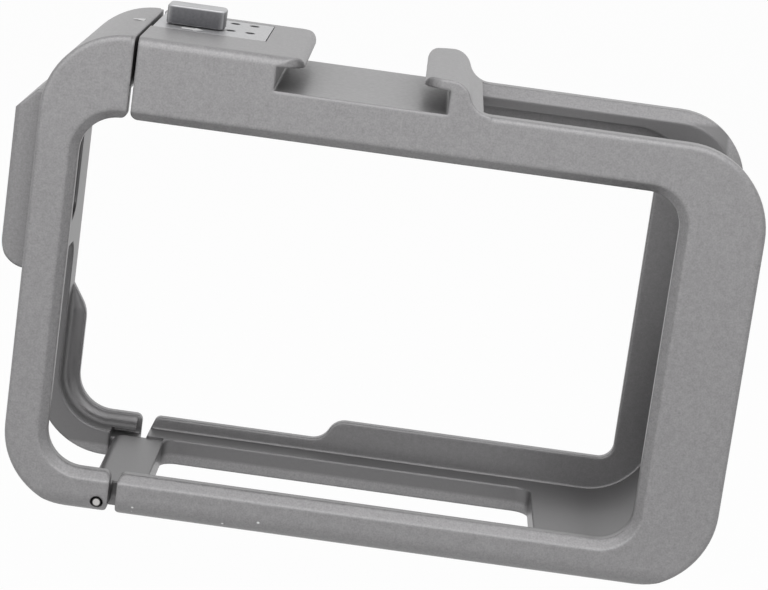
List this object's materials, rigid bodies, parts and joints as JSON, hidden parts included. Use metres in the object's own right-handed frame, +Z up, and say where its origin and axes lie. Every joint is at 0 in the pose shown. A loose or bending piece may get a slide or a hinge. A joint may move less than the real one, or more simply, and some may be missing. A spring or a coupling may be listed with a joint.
{
  "type": "action camera cage",
  "caption": "Metal cage for a small action camera: swing side door on a hinge pin, sliding thumb latch, top accessory shoe, side tripod boss, openings at shutter and floor.",
  "frame": {"origin": "middle of the part's box in width and depth, on its base", "axes": "+X to the right and +Z up as seen by the camera's user, who looks along +Y from the screen side to the lens side"},
  "size_m": [0.082, 0.028, 0.0554],
  "materials": {
    "anodised_aluminium": "bead blasted, grey anodised",
    "satin_plate": "satin",
    "steel": "ground"
  },
  "bodies": {
    "frame": {"main_frame": "anodised_aluminium", "hinge_pin": "steel", "latch_cover_plate": "satin_plate", "cover_pins": "steel"},
    "door": {"side_door": "anodised_aluminium", "door_eye": "steel"},
    "latch": {"thumb_tab": "satin_plate", "slider_plate": "steel"},
    "bolt": {"latch_bolt": "steel", "bolt_peg": "steel"}
  },
  "joints": [
    {"name": "door_hinge", "type": "hinge", "parent": "frame", "child": "door", "pos_m": [-0.02697, 0, 0.00138], "axis": [0, -1, 0], "range_deg": [0, 95]},
    {"name": "latch_slide", "type": "slide", "parent": "frame", "child": "latch", "axis": [1, 0, 0], "range_m": [0, 0.002], "stiffness_N_per_m": 300, "springref_m": -0.002},
    {"name": "bolt_slide", "type": "slide", "parent": "frame", "child": "bolt", "axis": [0, -1, 0], "range_m": [0, 0.002]}
  ],
  "couplings": [
    {"joint": "bolt_slide", "follows": "latch_slide", "ratio": 1}
  ]
}
